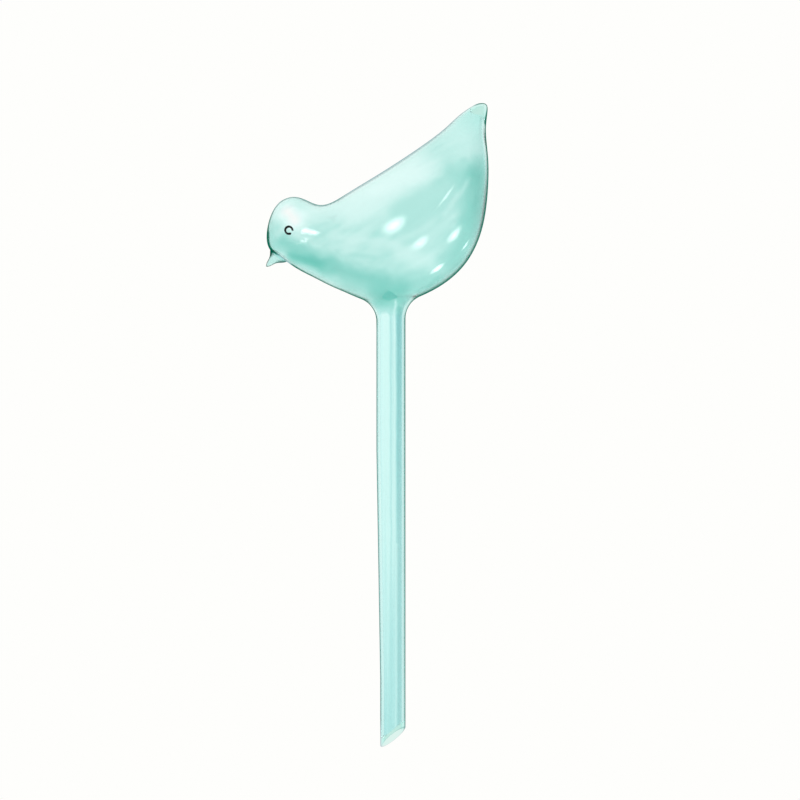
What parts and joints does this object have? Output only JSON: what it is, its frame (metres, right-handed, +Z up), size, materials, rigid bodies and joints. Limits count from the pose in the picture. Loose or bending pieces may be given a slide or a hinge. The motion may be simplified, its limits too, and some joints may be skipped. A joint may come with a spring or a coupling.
{
  "type": "watering globe",
  "caption": "Hollow blown glass bird on a long hollow stem with a slanted mouth; filled with water and pushed into soil, it waters a potted plant slowly.",
  "frame": {"origin": "on the axis of the stem's straight upper part, in the plane where the stem is welded to the bird's neck", "axes": "+Z up along the stem from its mouth to the bird, -X the way the bird faces, +Y to the bird's right, across its flat width"},
  "size_m": [0.0932, 0.0472, 0.2698],
  "materials": {
    "teal_glass": "clear tinted, blown and fire-polished",
    "black_enamel": "painted stroke, glossy"
  },
  "bodies": {
    "root": {"bird_body": "teal_glass", "tail_tip": "teal_glass", "stem_tube": "teal_glass", "beak": "teal_glass", "left_eye_ring": "black_enamel", "right_eye_ring": "black_enamel"}
  },
  "joints": []
}
